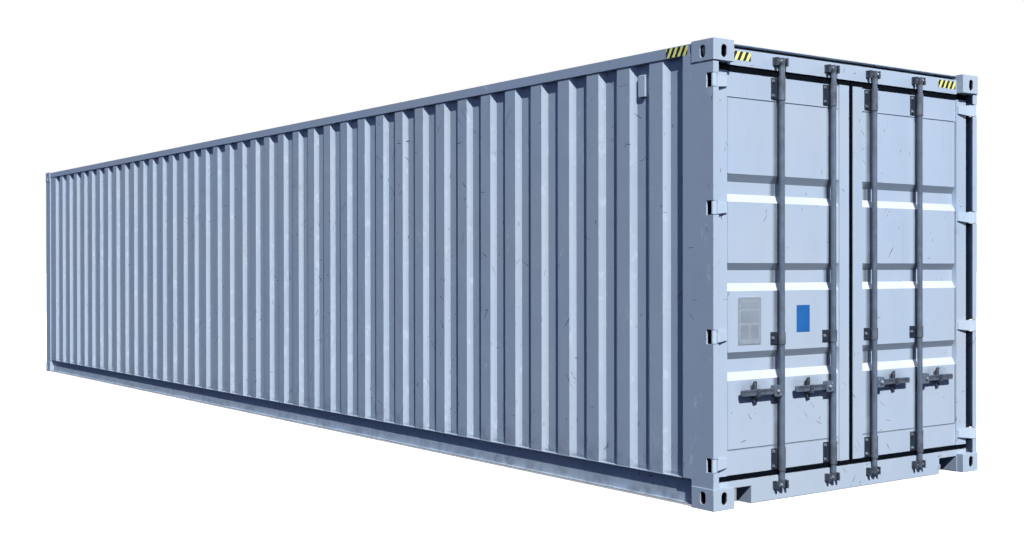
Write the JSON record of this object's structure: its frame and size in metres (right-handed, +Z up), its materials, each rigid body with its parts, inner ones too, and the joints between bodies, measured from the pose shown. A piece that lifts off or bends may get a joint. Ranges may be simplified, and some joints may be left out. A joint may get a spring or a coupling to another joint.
{
  "type": "shipping container",
  "caption": "Steel dry cargo box with corrugated walls, hollow corner castings and two full height doors that swing on post hinges and lock with cam rods and lift handles.",
  "frame": {"origin": "middle of the footprint, on the ground", "axes": "+X towards the door end, -Y is the left side seen when facing the doors, +Z up"},
  "size_m": [12.192, 2.438, 2.591],
  "materials": {
    "painted_steel": "satin blue grey paint, lightly scuffed",
    "lock_gear": "dull galvanised and painted steel",
    "door_seal": "black rubber",
    "plywood_floor": "worn varnished plywood",
    "plate_metal": "plain brushed plate",
    "underframe": "dark protective coating",
    "vent_hood": "painted hood"
  },
  "bodies": {
    "box_frame": {"corner_castings_bottom": "painted_steel", "corner_castings_top": "painted_steel", "door_post_left": "painted_steel", "door_post_right": "painted_steel", "front_post_left": "painted_steel", "front_post_right": "painted_steel", "top_side_rail_left": "painted_steel", "top_side_rail_right": "painted_steel", "bottom_side_rail_left": "painted_steel", "bottom_side_rail_right": "painted_steel", "door_header": "painted_steel", "door_sill": "painted_steel", "front_header": "painted_steel", "front_sill": "painted_steel", "side_wall_left": "painted_steel", "side_wall_right": "painted_steel", "front_wall": "painted_steel", "roof": "painted_steel", "floor_boards": "plywood_floor", "cross_members": "underframe", "hinge_lugs": "painted_steel", "cam_keepers_top": "lock_gear", "cam_keepers_bottom": "lock_gear", "side_vents": "vent_hood"},
    "left_door": {"door_frame_left": "painted_steel", "door_panel_left": "painted_steel", "door_gasket_left": "door_seal", "hinge_blades_left": "painted_steel", "rod_brackets_left": "lock_gear", "handle_catches_left": "lock_gear", "data_plate": "plate_metal"},
    "right_door": {"door_frame_right": "painted_steel", "door_panel_right": "painted_steel", "door_gasket_right": "door_seal", "hinge_blades_right": "painted_steel", "rod_brackets_right": "lock_gear", "handle_catches_right": "lock_gear"},
    "rod_1": {"lock_rod_1": "lock_gear"},
    "rod_2": {"lock_rod_2": "lock_gear"},
    "rod_3": {"lock_rod_3": "lock_gear"},
    "rod_4": {"lock_rod_4": "lock_gear"},
    "lever_1": {"handle_1": "lock_gear"},
    "lever_2": {"handle_2": "lock_gear"},
    "lever_3": {"handle_3": "lock_gear"},
    "lever_4": {"handle_4": "lock_gear"}
  },
  "joints": [
    {"name": "left_door_hinge", "type": "hinge", "parent": "box_frame", "child": "left_door", "pos_m": [6.078, -1.201, 1.3], "axis": [0, 0, 1], "range_deg": [-265, 0]},
    {"name": "right_door_hinge", "type": "hinge", "parent": "box_frame", "child": "right_door", "pos_m": [6.078, 1.201, 1.3], "axis": [0, 0, -1], "range_deg": [-265, 0]},
    {"name": "rod_1_turn", "type": "hinge", "parent": "left_door", "child": "rod_1", "pos_m": [6.066, -0.64, 1.3], "axis": [0, 0, 1], "range_deg": [0, 110]},
    {"name": "rod_2_turn", "type": "hinge", "parent": "left_door", "child": "rod_2", "pos_m": [6.066, -0.191, 1.3], "axis": [0, 0, 1], "range_deg": [0, 110]},
    {"name": "rod_3_turn", "type": "hinge", "parent": "right_door", "child": "rod_3", "pos_m": [6.066, 0.191, 1.3], "axis": [0, 0, -1], "range_deg": [0, 110]},
    {"name": "rod_4_turn", "type": "hinge", "parent": "right_door", "child": "rod_4", "pos_m": [6.066, 0.64, 1.3], "axis": [0, 0, -1], "range_deg": [0, 110]},
    {"name": "handle_1_lift", "type": "hinge", "parent": "rod_1", "child": "lever_1", "pos_m": [6.067, -0.69, 0.63], "axis": [-1, 0, 0], "range_deg": [0, 20]},
    {"name": "handle_2_lift", "type": "hinge", "parent": "rod_2", "child": "lever_2", "pos_m": [6.067, -0.241, 0.63], "axis": [-1, 0, 0], "range_deg": [0, 20]},
    {"name": "handle_3_lift", "type": "hinge", "parent": "rod_3", "child": "lever_3", "pos_m": [6.067, 0.241, 0.63], "axis": [1, 0, 0], "range_deg": [0, 20]},
    {"name": "handle_4_lift", "type": "hinge", "parent": "rod_4", "child": "lever_4", "pos_m": [6.067, 0.69, 0.63], "axis": [1, 0, 0], "range_deg": [0, 20]}
  ]
}
